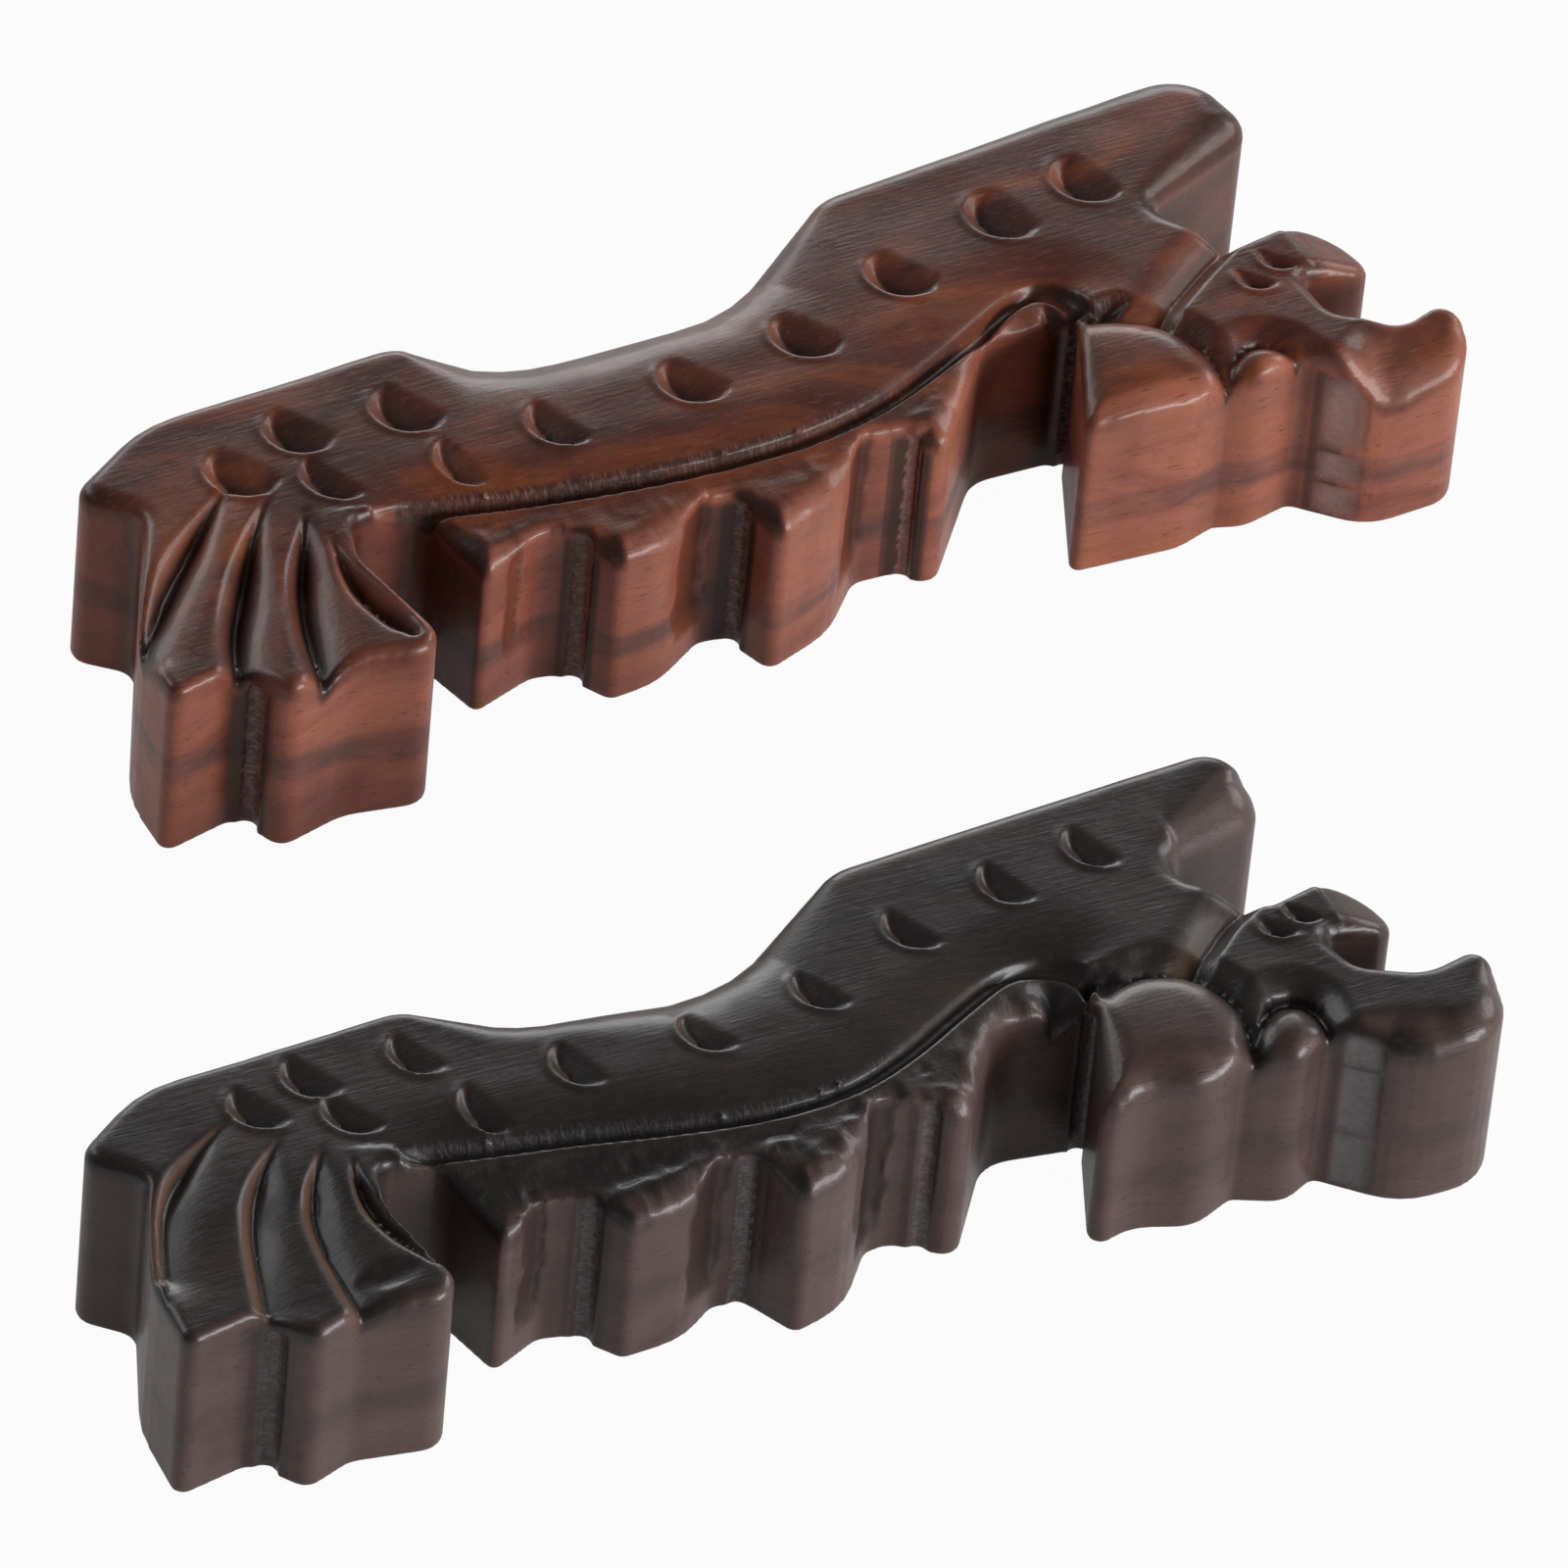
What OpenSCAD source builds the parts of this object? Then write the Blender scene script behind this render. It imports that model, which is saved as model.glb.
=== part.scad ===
// Pair of carved wooden brush rests in the shape of a crouching dragon, one of rosewood and one of ebony.
// Each is one block: sawn to a scalloped outline, then carved on one face. Both lie on their flat backs.
// Millimetres, +Z up. Each pattern is drawn from its standing line: x from tail to mouth, y up the back.

/* [Rosewood rack] */
// Length from the tail fan to the lower lip
rose_length = 127; // [110:1:150]
// Height from the standing line to the crest
rose_height = 44; // [38:1:54]
// Thickness of the block
rose_thick = 18.5; // [16:0.5:24]

/* [Ebony rack] */
// Length from the tail fan to the lower lip
ebony_length = 120; // [104:1:142]
// Height from the standing line to the crest
ebony_height = 40; // [34:1:50]
// Thickness of the block
ebony_thick = 18; // [16:0.5:24]

/* [Carving] */
// Rounding of the carved face's edge
edge_round = 1; // [0.6:0.1:1.2]
// Rounding of the saddle that the brushes lie in
saddle_round = 3.4; // [2:0.1:4]
// How far the feet lie below the carved face
foot_drop = 2.25; // [1.5:0.25:4]
// How far the cheeks lie below the carved face
cheek_drop = 0.8; // [0.6:0.1:2]
// Radius of the gouge that cut the belly groove
belly_gouge = 1.5; // [1:0.1:2]
// Width of the soft bevel above the belly groove
belly_bevel = 5; // [3:0.5:7]
// Radius of the gouge that cut the widest end of a tail flute
flute_gouge = 1.7; // [1:0.1:2.2]
// Radius of a scale's gouge cut
scale_radius = 2.8; // [2:0.1:3.2]
// Tilt of a scale's floor, degrees
scale_tilt = 20; // [12:1:28]

/* [Pair] */
// Ebony rack's shift to the left of the rosewood rack
pair_stagger = 36; // [0:1:60]
// Distance between the two standing lines
pair_pitch = 71; // [60:1:100]
// Ebony rack's turn against the rosewood rack, degrees
pair_turn = -3.3; // [-10:0.1:10]

/* [Hidden] */
// Sizes that the two patterns are drawn at
rose_drawn = [127, 44];
ebony_drawn = [120, 40];
// Direction that the scales' deep ends point to
scale_heading = 240;
// Largest turn between two points of an arc
arc_step = 20;
// Steps in the rounding of the carved edge
round_steps = 3;
// Points added between two points of a groove's path
path_steps = 3;
// Overlap past a face for clean cuts
past = 1;

// Outlines, clockwise from the tail: [x, y, corner radius, rounding of the carved edge]
rose_tail = [[9.2, 24.6, 1], [4.2, 29.2, 2], [14, 35.2, 12]];
rose_back = [[38.5, 36.4, 4.5], [48, 31, 14, saddle_round], [68, 30.5, 16, saddle_round],
    [83, 40.2, 6]];
rose_crest = [[121.5, 44, 5], [124, 35, 3.5, 2.5], [108.8, 28, 2, 3]];
rose_snout = [[113, 19.4, 1], [122.8, 21.2, 4.5], [124.3, 13.8, 1.8], [116.2, 14, 1.2, 2]];
rose_lip = [[116, 8.3, 2.5, 1.5], [121, 5, 4], [127.2, 6.6, 1.3]];
rose_jaw = [[126.5, 0.3, 3], [117, 0, 5], [111.8, 5.2, 1.2], [106.3, 4.2, 3], [103.6, 5.7, 0.8],
    [100.5, 4, 4], [89.6, 4.6, 1.3]];
rose_arm = [[96.4, 18.3, 1.2], [87.6, 18.7, 4]];
rose_feet = [[77.8, 7.6, 2], [74.8, 11.3, 2], [71, 11.1, 1.5], [65.5, 5.2, 4], [60, 3.5, 1.8],
    [57, 9.4, 1.5], [53.5, 8.2, 3], [49, 5.9, 3], [45, 5.9, 1.8], [41.5, 11.1, 2], [38.3, 10.7, 2.5],
    [33.5, 8.5, 1.4]];
rose_gap = [[31.8, 16.8, 2], [27.5, 17.2, 1.5]];
rose_fan = [[26, -0.5, 3.5], [17, 1.1, 4], [10.2, -0.5, 1.8], [8.5, 4.4, 1.2], [0.9, 2.8, 2],
    [1.3, 9.5, 8]];

ebony_tail = [[6.4, 21.2, 1], [1.8, 25.4, 2], [10, 31.3, 12]];
ebony_back = [[33.5, 32.8, 4.5], [43.5, 27.2, 14, 2], [60.5, 26.7, 16, saddle_round], [75, 36.6, 6]];
ebony_crest = [[112, 39.6, 3.5], [114, 32.5, 3.5, 2.5], [100.5, 28, 2.5, 3]];
ebony_snout = [[106.8, 19.6, 1], [115.8, 22, 4.5], [117.2, 14.8, 1.8], [109.5, 15.2, 1.2, 2]];
ebony_lip = [[110.3, 10.5, 2.5, 1.5], [115.5, 7.9, 4], [121.6, 9.4, 1.3]];
ebony_jaw = [[119.8, -0.3, 5], [111, -0.4, 6], [105.2, 5.3, 1.2], [101.7, 3.4, 3], [98, 5.3, 0.8],
    [93.5, 3.2, 4], [88.5, 4.9, 3], [83.8, 3.2, 1.5]];
ebony_arm = [[88.8, 15.8, 1.2], [80.5, 16.8, 4]];
ebony_feet = [[73.4, 6.2, 1.8], [70, 9.6, 2], [66.3, 9.5, 1.5], [62.5, 3.7, 4], [57.6, 2.5, 2],
    [54.3, 8.2, 2], [50.7, 7.4, 3], [46.5, 5.1, 3], [42.3, 5.4, 2], [39, 9.7, 2], [36.3, 9.2, 2.5],
    [32, 7.1, 1.4]];
ebony_gap = [[30, 14.8, 2], [26.5, 15.2, 1.5]];
ebony_fan = [[26.3, 0.2, 4], [16.2, 1.5, 2], [12.2, -0.3, 1.8], [9.2, 4.3, 1.5], [1.8, 2.5, 2.2],
    [2.2, 10.5, 8]];

// Belly grooves from the tail gap over the feet and the armpit: [x, y, reach of the ledge in front]
rose_belly = [[28.8, 18.1, 3], [33, 17, 9], [41, 14.8, 14], [50, 13.4, 14], [58, 12.7, 14],
    [65.8, 12.6, 13], [74, 14.2, 10], [82, 17.4, 6], [88, 20.4, 5], [93, 22.6, 5.5], [96.4, 21.6, 4.6]];
ebony_belly = [[28.5, 16.9, 3], [32, 16.3, 9], [41, 14.8, 14], [50, 13, 14], [58, 12, 14],
    [65, 12.6, 12], [71, 14.8, 9], [77, 18, 6], [82, 20.2, 5], [86, 20.6, 5.5], [88.8, 19.3, 4.6]];
// Scale cuts along the back
rose_scales = [[19.3, 25.9], [26.2, 28.9], [25.6, 22.4], [36.2, 28], [37.2, 20.1], [47.5, 21.3],
    [60.6, 21.8], [72.4, 23.3], [84.1, 27.5], [96.3, 31.3], [105.6, 32.8]];
ebony_scales = [[18.6, 25.7], [24.2, 27.7], [25.2, 22.6], [33.5, 27.3], [36, 19.4], [45.4, 21.5],
    [57, 21.6], [67.9, 23], [78.1, 27.2], [88.1, 29.7], [96.8, 31.4]];
// Tail flutes from the root to the rim of the fan
rose_flutes = [[[16.6, 25], [11.4, 20.5], [6.2, 15.4], [0.4, 9.4]],
    [[19.3, 21.6], [14.9, 16.8], [11, 11.1], [6.7, 1.8]],
    [[19.8, 16.9], [17.3, 12], [15.1, 6.3], [13.3, -1]],
    [[21.7, 13.8], [21.1, 8.9], [22, 4.1], [23.2, -0.4]]];
ebony_flutes = [[[14.4, 24.8], [9.6, 21.3], [6.3, 17.2], [3.2, 11.7]],
    [[18, 21.1], [14.3, 17.5], [11.5, 12.6], [9.1, 4]],
    [[20.8, 18.8], [17.9, 14.9], [16.3, 10.2], [16.2, 1.8]],
    [[22.8, 17], [21.8, 12.8], [22.3, 7.9], [24.6, 2.5]]];
// Groove between neck and head, and the edges of the two cheek lobes
rose_neck = [[114.5, 21.8], [109.5, 17.9], [106.7, 17.2]];
ebony_neck = [[107.3, 21.3], [103.5, 19.4], [101.6, 17.5]];
rose_cheeks = [[[98.9, 16.4], [101.2, 14.6], [103.2, 13.5], [104.4, 9.6], [103.3, 5.5], [103.6, 1.8]],
    [[105.2, 1.7], [105.9, 5.7], [106.9, 9], [110.4, 8.7], [111.4, 6.3], [112.6, 2.2]]];
ebony_cheeks = [[[92.1, 15.9], [95.1, 15.8], [98.1, 14.7], [99.1, 10.8], [99.2, 6.8], [98.1, 2]],
    [[99.5, 0.9], [100, 5.8], [102.2, 10.3], [104.3, 9.3], [105.7, 6], [106.5, 2.5]]];
rose_eyes = [[112.6, 14.8], [115.4, 16]];
ebony_eyes = [[106.8, 17.2], [109.6, 17.4]];

// Pattern values at the rack's own size
function sized(points, s) = [for (p = points) [for (i = [0:len(p) - 1])
    i == 1 ? p[1] * s[1] : i == 3 ? p[3] : p[i] * s[0]]];
function each_sized(lists, s) = [for (points = lists) sized(points, s)];
function unit(v) = v / norm(v);
function flat(p) = [p[0], p[1]];
function edge_of(p) = len(p) > 3 ? p[3] : edge_round;

// Points of the arc at corner b between its neighbours a and c, each with the rounding of the carved edge
function corner(a, b, c) =
    let (u = unit(flat(a) - flat(b)), v = unit(flat(c) - flat(b)), half = acos(u * v) / 2, r = b[2],
        mid = flat(b) + unit(u + v) * r / sin(half), from = flat(b) + u * r / tan(half) - mid,
        turn = (180 - 2 * half) * sign(cross(-u, v)), n = max(1, ceil(abs(turn) / arc_step)))
    [for (i = [0:n]) let (t = atan2(from[1], from[0]) + turn * i / n)
        [mid[0] + r * cos(t), mid[1] + r * sin(t), edge_of(b)]];
function outline(points) = let (n = len(points))
    [for (i = [0:n - 1], p = corner(points[(i + n - 1) % n], points[i], points[(i + 1) % n])) p];

rose_fit = [rose_length / rose_drawn[0], rose_height / rose_drawn[1]];
ebony_fit = [ebony_length / ebony_drawn[0], ebony_height / ebony_drawn[1]];
rose_outline = outline(sized(concat(rose_tail, rose_back, rose_crest, rose_snout, rose_lip, rose_jaw,
    rose_arm, rose_feet, rose_gap, rose_fan), rose_fit));
ebony_outline = outline(sized(concat(ebony_tail, ebony_back, ebony_crest, ebony_snout, ebony_lip,
    ebony_jaw, ebony_arm, ebony_feet, ebony_gap, ebony_fan), ebony_fit));

// Middle of the pair's footprint, which is the origin
function turned(p, a) = [p[0] * cos(a) - p[1] * sin(a), p[0] * sin(a) + p[1] * cos(a)];
ebony_place = [-pair_stagger, -pair_pitch];
footprint = concat([for (p = rose_outline) flat(p)],
    [for (p = ebony_outline) turned(p, pair_turn) + ebony_place]);
left = min([for (p = footprint) p[0]]);
right = max([for (p = footprint) p[0]]);
front = min([for (p = footprint) p[1]]);
back = max([for (p = footprint) p[1]]);
middle = [(left + right) / 2, (front + back) / 2];

// Closed solid through rings of points, each ring going round the same way
module loft(rings) {
    m = len(rings[0]);
    last = (len(rings) - 1) * m;
    sides = [for (i = [0:len(rings) - 2], k = [0:m - 1]) let (a = i * m + k, b = i * m + (k + 1) % m)
        each [[a, b, b + m], [a, b + m, a + m]]];
    caps = [[for (k = [m - 1:-1:0]) k], [for (k = [0:m - 1]) last + k]];
    polyhedron([for (r = rings) each r], concat(sides, caps));
}

// Sawn block with its carved edge rounded over by the amount that each point of the outline asks for
module block(points, thick) {
    n = len(points);
    inward = [for (i = [0:n - 1])
        let (d = unit(flat(points[(i + 1) % n]) - flat(points[(i + n - 1) % n]))) [d[1], -d[0]]];
    rounding = [for (k = [0:round_steps]) let (t = 90 * k / round_steps)
        [for (i = [0:n - 1]) let (p = points[i], in = p[2] * (1 - cos(t)))
            [p[0] + inward[i][0] * in, p[1] + inward[i][1] * in, thick - p[2] * (1 - sin(t))]]];
    loft(concat([[for (p = points) [p[0], p[1], 0]]], rounding));
}

// Path with points added between the given ones, on a smooth curve through them
function smooth(path) = let (n = len(path) - 1)
    [for (i = [0:n - 1], k = [0:path_steps - 1])
        let (t = k / path_steps, a = path[max(i - 1, 0)], b = path[i], c = path[i + 1],
            d = path[min(i + 2, n)])
        b + (c - a) * t / 2 + (2 * a - 5 * b + 4 * c - d) * t * t / 2
            + (3 * b - a - 3 * c + d) * t * t * t / 2,
    path[n]];
function heading(path, k) = unit(flat(path[min(k + 1, len(path) - 1)]) - flat(path[max(k - 1, 0)]));

// Round groove along a path, its radius changing from the first point to the last
module groove(path, z, r0, r1) {
    line = smooth(path);
    n = len(line) - 1;
    loft([for (k = [0:n]) let (r = r0 + (r1 - r0) * k / n, d = heading(line, k))
        [for (t = [15:30:345])
            [line[k][0] + d[1] * r * cos(t), line[k][1] - d[0] * r * cos(t), z + r * sin(t)]]]);
}

// Belly cut, swept in one piece: soft bevel, wall, groove and the ledge of the feet
module belly_cut(belly, thick) {
    line = smooth(belly);
    loft([for (k = [0:len(line) - 1]) let (d = heading(line, k), floor = -foot_drop)
        [for (q = [[-line[k][2], floor], [-line[k][2], past], [belly_bevel, past], [belly_bevel, past / 4],
            [0.4, floor * 0.6], [0, floor - 0.8], [-belly_gouge, floor - 1], [-2 * belly_gouge, floor]])
            [line[k][0] - d[1] * q[0], line[k][1] + d[0] * q[0], thick + q[1]]]]);
}

// One gouge cut with a tilted floor: deep at the end that the heading points to, running out at the other
module scale_cut(p, r, thick) {
    translate([p[0], p[1], thick]) rotate(scale_heading) rotate([0, scale_tilt, 0])
        translate([0, 0, -r * sin(scale_tilt) * 0.75]) hull() {
            cylinder(r = r * 0.9, h = 0.1, $fn = 20);
            translate([0, 0, 2 * r]) cylinder(r = r * 1.25, h = 0.1, $fn = 20);
        }
}

// Notch between two feet, carried up onto their ledge by a gouge
module foot_notch(tip, thick) {
    groove([tip + [0, 2.4], tip - [0, 1.5]], thick - foot_drop + 0.3, 0.5, 2.1);
}

// Cheeks lowered below the carved face, their lobes rounded off by a groove along each edge
module cheek_cut(cheeks, jaw_corner, thick) {
    translate([0, 0, thick - cheek_drop]) linear_extrude(cheek_drop + past)
        polygon(concat([for (i = [1:5]) cheeks[0][i]], cheeks[1], [jaw_corner - [2, 5], jaw_corner - [2, 0],
            cheeks[0][0] - [5, 0.4]]));
    for (c = cheeks) groove(c, thick - 0.3, cheek_drop + 0.7, cheek_drop + 0.7);
}

// One rack: the sawn block less every carved cut
module rack(points, thick, belly, scales, flutes, neck, cheeks, eyes, feet, jaw_corner) {
    difference() {
        block(points, thick);
        belly_cut(belly, thick);
        for (i = [1, 5, 9]) foot_notch(flat(feet[i]), thick);
        for (p = scales) scale_cut(p, scale_radius, thick);
        for (f = flutes) groove(f, thick - 0.2, 0.5, flute_gouge);
        cheek_cut(cheeks, jaw_corner, thick);
        groove(neck, thick - 0.2, 1.8, 1.5);
        for (p = eyes) scale_cut(p, scale_radius * 0.6, thick);
    }
}

module rosewood_rack() {
    color([0.36, 0.16, 0.11]) translate([-middle[0], -middle[1], 0])
        rack(rose_outline, rose_thick, sized(rose_belly, rose_fit), sized(rose_scales, rose_fit),
            each_sized(rose_flutes, rose_fit), sized(rose_neck, rose_fit),
            each_sized(rose_cheeks, rose_fit), sized(rose_eyes, rose_fit), sized(rose_feet, rose_fit),
            flat(sized(rose_jaw, rose_fit)[6]));
}

module ebony_rack() {
    color([0.13, 0.1, 0.09]) translate([-middle[0], -middle[1], 0])
        translate(ebony_place) rotate(pair_turn)
        rack(ebony_outline, ebony_thick, sized(ebony_belly, ebony_fit), sized(ebony_scales, ebony_fit),
            each_sized(ebony_flutes, ebony_fit), sized(ebony_neck, ebony_fit),
            each_sized(ebony_cheeks, ebony_fit), sized(ebony_eyes, ebony_fit),
            sized(ebony_feet, ebony_fit), flat(sized(ebony_jaw, ebony_fit)[7]));
}

rosewood_rack();
ebony_rack();
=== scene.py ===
"""Two carved wooden brush rests, one of rosewood and one of ebony, lying on their flat backs."""
import math

import bpy
import numpy as np
from mathutils import Matrix, Vector


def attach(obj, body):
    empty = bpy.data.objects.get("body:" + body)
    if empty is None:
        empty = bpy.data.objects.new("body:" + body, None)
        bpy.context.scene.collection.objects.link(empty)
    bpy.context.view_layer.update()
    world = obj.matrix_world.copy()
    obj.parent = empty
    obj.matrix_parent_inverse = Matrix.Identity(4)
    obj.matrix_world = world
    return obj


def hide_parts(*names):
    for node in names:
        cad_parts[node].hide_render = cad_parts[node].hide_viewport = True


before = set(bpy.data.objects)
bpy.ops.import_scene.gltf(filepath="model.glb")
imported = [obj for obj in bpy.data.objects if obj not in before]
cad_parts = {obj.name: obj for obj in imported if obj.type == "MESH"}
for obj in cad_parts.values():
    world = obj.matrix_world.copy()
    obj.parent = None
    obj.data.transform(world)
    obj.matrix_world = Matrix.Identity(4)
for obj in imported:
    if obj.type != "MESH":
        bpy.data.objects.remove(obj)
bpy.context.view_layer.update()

GRID = 0.25         # plan step of the sculpted surface, mm
RISE = 0.35         # height step of the sculpted surface, mm
MARGIN = 4          # grid steps left free round the outline
OFFSET = 0.07       # keeps the grid's levels off the face that lies on the table, mm
AROUND = 60         # passes of the blur that gives the height round a place
LOWER_ROUND = 0.4   # rounding of the edge that lies on the table, mm
TABLE = 64          # cells along each side of the noise table
COLUMN_MARKS = 40   # tool marks up an upright groove, at most
TOOTH = 0.8         # pitch of the gouge marks along the belly, mm
FAN_BACK = 30       # the tail fan lies in front of this y, mm
FRONT = 6           # the front edges lie below this y, mm
CREST = (104, 24)   # the end of the crest lies beyond this x and y, mm
LAYER_SPAN = 20.0   # height that the growth layers are given over, mm
MM_PER_M = 1000
WHITE = (1, 1, 1, 1)
LAMP_AIM = (0, 0, 0.01)

# Drop of the ledge over the feet at these distances from the belly line, and of its arch by the head
LEDGE_AT = [0, 0.35, 0.9, 1.3, 1.6, 2.2, 4, 8, 16]
ARCH_AT = [0, 0.5, 1.1, 1.6, 2.1, 3.2, 8]
ARCH_DROP = (1.7, 2.0, 1.9, 1.6, 2.4, 6)
# Valley behind the head: depth, reach towards the head and towards the neck
VALLEY = (1.8, 1.7, 4.0)
# Cheeks: width and depth of the shoulder, fall of the pillow, width and depth of the bank behind
SHOULDER = (3.6, 1.5)
PILLOW = 1.3
BANK = (2.4, 1.5)

# Rounding of the carved edge: width and drop
EDGE = (1.0, 0.9)
FOOT = (2.6, 1.7)
BEND = (1.2, 0.5)
SADDLE = (8.0, 3.2)
RIM = (1.2, 1.1)
LIP = (0.5, 0.4)

# Both racks have the same entries, with lengths in mm and in the plan of the carved face
ROSE = {
    "node": "rosewood_rack", "slot": "rosewood", "thick": 18.5, "seed": 3,
    # Where the plan's origin lies: x, y, turn in degrees
    "place": (-46.6246, 17.2093, 0.0),
    # Outline, clockwise from the tail: x, y, corner radius, rounding of the carved edge
    "outline": [
        (9.2, 24.6, 2, (1.6, 1.2)), (4.2, 29.2, 2, (2, 1.4)), (14, 35.2, 12, (1.6, 1.3)),
        (38.5, 36.4, 4.5, (2, 1.5)), (48, 31, 14, SADDLE), (68, 30.5, 16, SADDLE),
        (83, 40.2, 6, (2.2, 1.6)), (121.5, 44, 5, (3.4, 2.2)), (124, 35, 3.5, (4.6, 2.6)),
        (108.8, 28, 2, (2.6, 1.6)), (113, 19.4, 1, EDGE), (122.8, 21.2, 4.5, (1.2, 1)),
        (124.3, 13.8, 1.8, (1.2, 1)), (116.2, 14, 1.2, (1.8, 1.6)), (116, 8.3, 2.5, (1.5, 1.3)),
        (121, 5, 4, (1.6, 1.4)), (127.1, 6.4, 1.9, (1.4, 1.2)), (126.3, 0.2, 3.6, (2.2, 1.4)),
        (116.6, -0.2, 6, (2.2, 1.3)), (111.7, 5.1, 1.2, (1, 1)), (106.8, 4.1, 4, (2.2, 1.4)),
        (104.1, 5, 1.2, (1.2, 0.8)), (100, 3.8, 5, (4.8, 1.6)), (89.6, 4.6, 0.8, (2.6, 1.4)),
        (96.4, 18.3, 1.2, EDGE), (87.6, 18.7, 4, (1.6, 1.4)),
        (77.8, 7.6, 1.8, FOOT), (75.4, 10.6, 1.6, BEND), (71.6, 10.8, 2.2, BEND), (66.5, 5.8, 10, FOOT),
        (59.4, 3.4, 1.2, FOOT), (57.7, 8.8, 1.1, BEND), (55.4, 9.1, 2.2, BEND), (49.8, 5.8, 9, FOOT),
        (45, 5.4, 1.2, FOOT), (42.4, 10.1, 2, BEND), (40, 10.6, 3, BEND), (33.6, 8.5, 0.8, FOOT),
        (31.8, 16.8, 2, EDGE), (28, 17, 0.6, EDGE), (25.2, 16.9, 1.6, (1.3, 1.2)), (23.1, 12.6, 5, LIP),
        (26, -0.7, 2.4, RIM), (17, 1, 6, RIM), (10.3, -0.6, 1.6, RIM), (8.4, 4.3, 1.5, (1, 0.8)),
        (0.9, 2.7, 1.1, (1, 0.8)), (1.3, 10, 12, (1.4, 1))],
    # Line along the belly, and the rest of the ledge that it bounds over the feet
    "belly": [(26.9, 17.7), (33, 16.6), (41, 14.8), (50, 13.4), (58, 12.7), (66, 12.7), (74, 14.2),
              (82, 17.4), (88, 20.4), (92.5, 22.4), (95.3, 22.4), (96.9, 20.6), (97.5, 17.4)],
    "ledge": [(95.8, 17.6), (87, 5), (86, -6), (27.2, -6), (27.2, 17.5)],
    # Drops of the ledge, its fall to the left of an x, width and depth of the bevel above it
    "drop": (2.4, 2.7, 2.2, 1.3, 1.5, 1.55, 1.8, 2.4), "tilt": (58, 0.0), "bevel": (6.0, 1.0),
    # How strong: gouge marks, ledge chips, dark crest end, painted light on the cheeks, bare scale cuts,
    # painted shade in the gap by the fan
    "chatter": 0.07, "chips": 0.3, "dusk": 0.6, "lit_cheeks": 0.0, "bare": 0.7, "gloom": 0.15,
    # Scale cuts: x, y, radius, heading of the deep side, depth, how far back the floor runs out
    "scales": [(19.3, 25.9, 3.4, 210, 2.0, 0.5), (26.2, 28.9, 3.2, 210, 2.0, 0.5),
               (26.4, 22.4, 3.2, 204, 1.7, 0.1), (36.2, 28, 3.4, 206, 2.1, 0.5),
               (38, 20.1, 3.2, 192, 1.7, 0.0), (47.5, 21.3, 3.3, 198, 1.9, 0.2),
               (60.6, 21.8, 3.3, 208, 2.1, 0.5), (72.4, 23.3, 3.3, 210, 2.1, 0.5),
               (84.1, 27.5, 3.3, 208, 2.1, 0.5), (96.3, 31.3, 3.5, 191, 1.7, 0.6),
               (105.6, 32.8, 3.4, 194, 2.1, 0.5)],
    "eyes": [(112.4, 14.9, 1.9, 222, 1.6, 0.0), (115.6, 16.6, 1.9, 222, 1.5, 0.0)],
    # Tail flutes from the root to the rim: path, depth, half width, open end
    "flutes": [([(17.2, 24.6), (12, 20.4), (6.6, 15.2), (1.4, 9.2)], 2.2, 2.6, True),
               ([(19.8, 22.2), (15.8, 17.6), (12.3, 12.6), (9.4, 8), (7, 2.2)], 2.5, 2.7, True),
               ([(21.6, 19), (19.6, 15.4), (17.2, 10.8), (15.3, 5.6), (13.4, -1.2)], 2.5, 2.7, True),
               ([(22.2, 15.4), (21.6, 11.6), (21.8, 8), (22.6, 4.6), (23.3, 2.4)], 2.2, 1.6, False)],
    # Fan: root, rim, fall, widths of the two sides of a flute, how bare the steep side is and how strong the
    # painted light on the broad side is
    "fan": ((22, 22), (14, 0), 0.9, (0.7, 1.35), 0.2, 0.4),
    # Valley behind the head, and pits: x, y, half sizes, depth
    "neck": [(116, 22.6), (109.7, 19), (105.1, 16), (101.4, 13.4)],
    "pits": [(98.6, 16.9, 2.2, 1.1, 1.4), (95.8, 17, 1.7, 1.5, 1.3)],
    # Cheeks: edge behind, rest of the plan, drop, middle and reach of the pillow
    "lobes": [([(96.6, 16.2), (98.4, 15.6), (101.7, 13.4), (103.4, 10.4), (104.1, 7.4), (104, 3.6)],
               [(97, -3), (86, -3), (86, 6), (95.4, 18)], 0.1, (97.5, 11, 10)),
              ([(104.2, 3.6), (105, 6.2), (106.9, 7.9), (109, 7.8), (110.6, 6.2), (111.3, 3.4)],
               [(112, -3), (104, -3)], 0.5, (107.6, 5.4, 5))],
    # Faces cut flat with one stroke: a point on the upper edge, way down, slope, where, softness, how much
    # painted light lies on the face
    "strokes": [((117.6, 17.6), (0.93, 0.1), 0.5, (116.5, 13, 127, 24), 1.0, 0.4)],
    # Lower lip cut back: front edge height at two places, front, run
    "chamfer": ((115.3, 13.1), (126, 16), 0.1, 4.6),
    # Scooped streaks on the front faces: x, y, half width, depth, lowest, highest
    "streaks": [(37.0, 9.7, 0.8, 0.35, 5, 15.5), (53.4, 8.2, 2.0, 0.5, 3, 20),
                (70.0, 9.7, 1.9, 0.5, 3.5, 20)],
    # Upright round grooves with tool chatter: x, y, radius, size of a tooth, top
    "columns": [(42.9, 8.7, 1.0, 0.05, 17), (57.6, 7.7, 1.0, 0.05, 16.6), (75.4, 9.5, 1.0, 0.05, 16.8),
                (8.7, 2.8, 1.0, 0.05, 16.4), (96.1, 17, 0.9, 0.05, 16.4)],
    # Upright strip of stacked scoops: x, y, half width, depth, heights where they meet, how crisp
    "strip": (114.6, 2.2, 2.3, 0.5, (0.2, 3.8, 7.3, 15.6), 2),
}

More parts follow.
